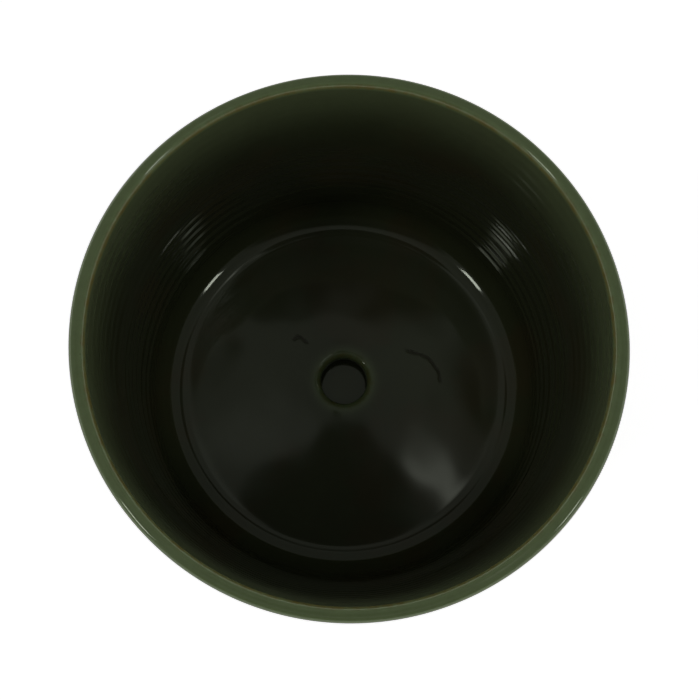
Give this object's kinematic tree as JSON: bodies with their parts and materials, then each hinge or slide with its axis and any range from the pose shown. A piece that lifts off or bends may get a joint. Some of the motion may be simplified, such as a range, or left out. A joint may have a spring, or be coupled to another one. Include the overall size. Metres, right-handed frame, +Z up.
{
  "type": "plant pot with saucer",
  "caption": "Round, nearly straight-sided glazed clay plant pot with a drainage hole in its floor, lifting off a shallow saucer.",
  "frame": {"origin": "centre of the saucer's underside, on the table", "axes": "+Z up, along the axis that both pieces are turned about; the pieces are round, so +X and +Y are free"},
  "size_m": [0.1772, 0.1772, 0.1203],
  "materials": {
    "pot_glaze": "glossy dark green glaze, breaking to brown on the lip, over fired clay that is bare on the foot ring",
    "saucer_glaze": "the same glossy dark green glaze, with a bare clay foot ring"
  },
  "bodies": {
    "saucer": {"saucer": "saucer_glaze"},
    "pot": {"pot": "pot_glaze"}
  },
  "joints": [
    {"name": "pot_lift", "type": "slide", "parent": "saucer", "child": "pot", "axis": [0, 0, 1], "range_m": [0, 0.1]}
  ]
}
